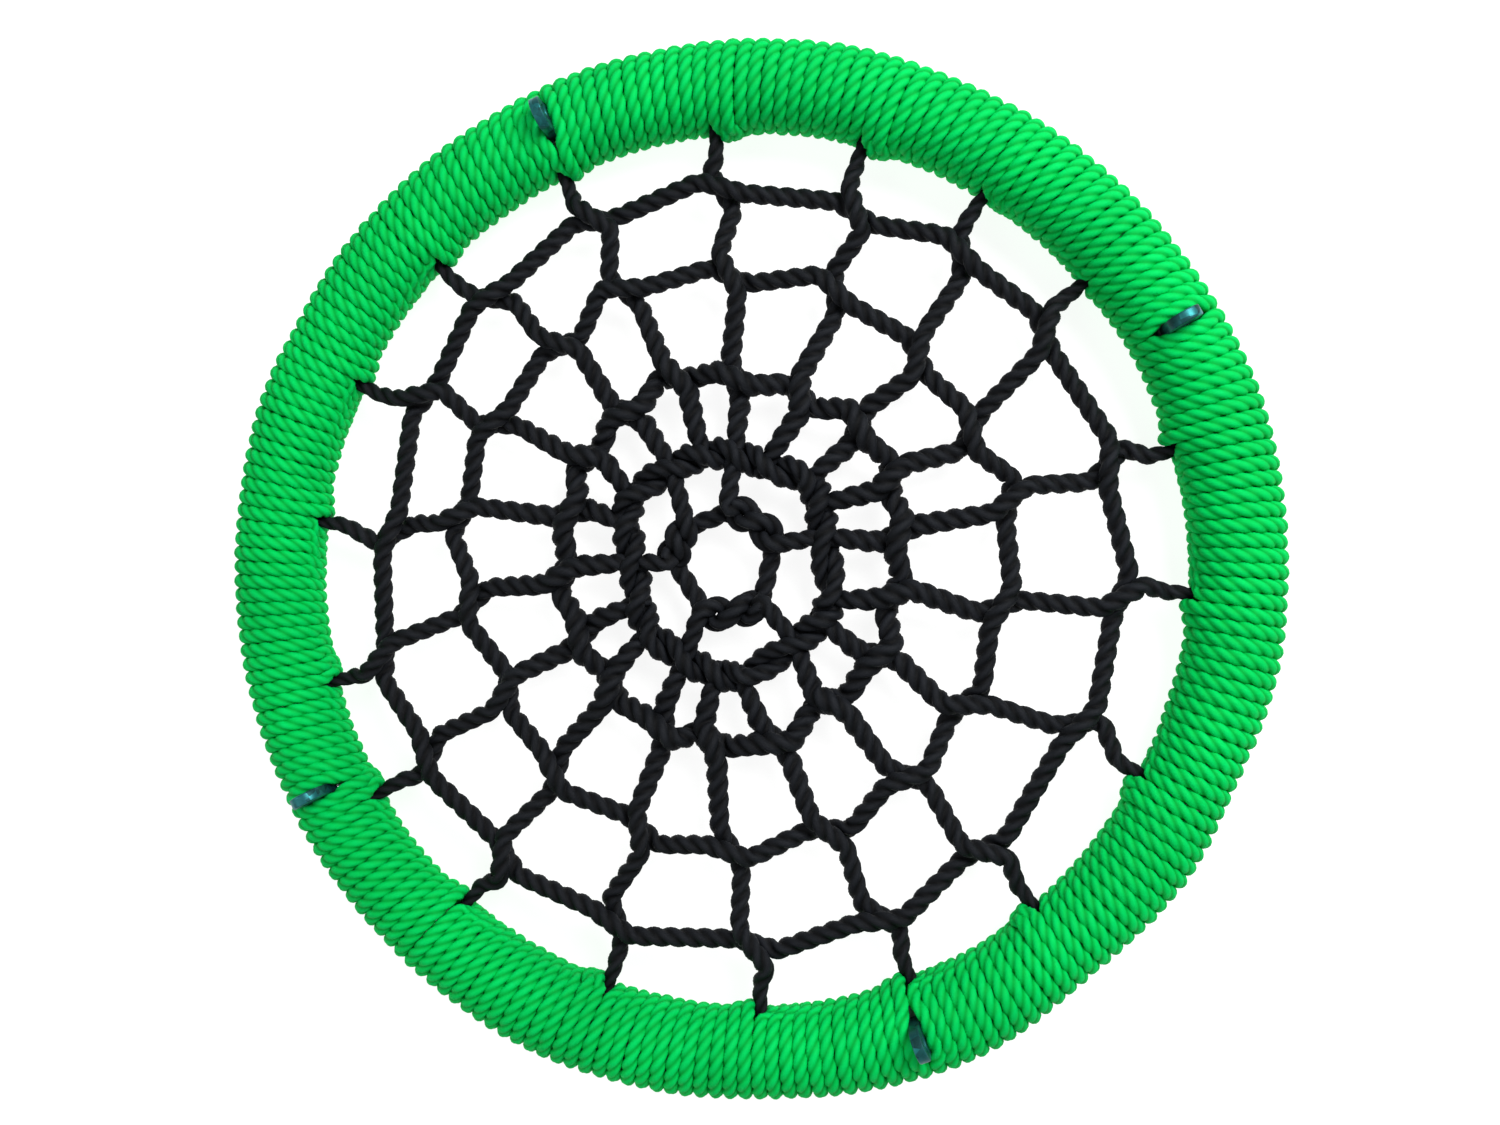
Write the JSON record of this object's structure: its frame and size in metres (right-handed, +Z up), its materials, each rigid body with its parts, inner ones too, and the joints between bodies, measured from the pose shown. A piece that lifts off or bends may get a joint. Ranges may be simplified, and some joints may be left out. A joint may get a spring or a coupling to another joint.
{
  "type": "nest swing seat",
  "caption": "Round nest swing seat: a padded steel ring wrapped in rope, with upright hanging lugs and a knotted spider-web rope net stretched inside it.",
  "frame": {"origin": "under the middle of the ring, on the plane the seat lies on", "axes": "+Z up, square to the ring; +X and +Y across the ring, with the first hanging lug 28.4 degrees from +X towards +Y"},
  "size_m": [1, 1, 0.1105],
  "materials": {
    "steel": "hot-dip galvanised, matte",
    "lug_steel": "galvanised, darkened by weather",
    "weld": "rough weld bead under zinc",
    "foam": "closed-cell polyethylene foam",
    "green_rope": "laid three-strand polypropylene rope, slightly shiny",
    "black_rope": "laid three-strand polyester rope, matte"
  },
  "bodies": {
    "root": {"ring_tube_a": "steel", "ring_tube_b": "steel", "tube_sleeve_a": "steel", "tube_sleeve_b": "steel", "hanging_lug_1": "lug_steel", "hanging_lug_2": "lug_steel", "hanging_lug_3": "lug_steel", "hanging_lug_4": "lug_steel", "lug_weld_beads": "weld", "foam_pad_1": "foam", "foam_pad_2": "foam", "foam_pad_3": "foam", "foam_pad_4": "foam", "rope_wrap_1": "green_rope", "rope_wrap_2": "green_rope", "rope_wrap_3": "green_rope", "rope_wrap_4": "green_rope", "spoke_rope_01": "black_rope", "spoke_rope_02": "black_rope", "spoke_rope_03": "black_rope", "spoke_rope_04": "black_rope", "spoke_rope_05": "black_rope", "spoke_rope_06": "black_rope", "spoke_rope_07": "black_rope", "spoke_rope_08": "black_rope", "spoke_rope_09": "black_rope", "spoke_rope_10": "black_rope", "spoke_rope_11": "black_rope", "spoke_rope_12": "black_rope", "spoke_rope_13": "black_rope", "spoke_rope_14": "black_rope", "spoke_rope_15": "black_rope", "spoke_rope_16": "black_rope", "spoke_rope_17": "black_rope", "spoke_rope_18": "black_rope", "net_ring_1": "black_rope", "net_ring_2": "black_rope", "net_ring_3": "black_rope", "net_ring_4": "black_rope", "hub_ring": "black_rope"}
  },
  "joints": []
}
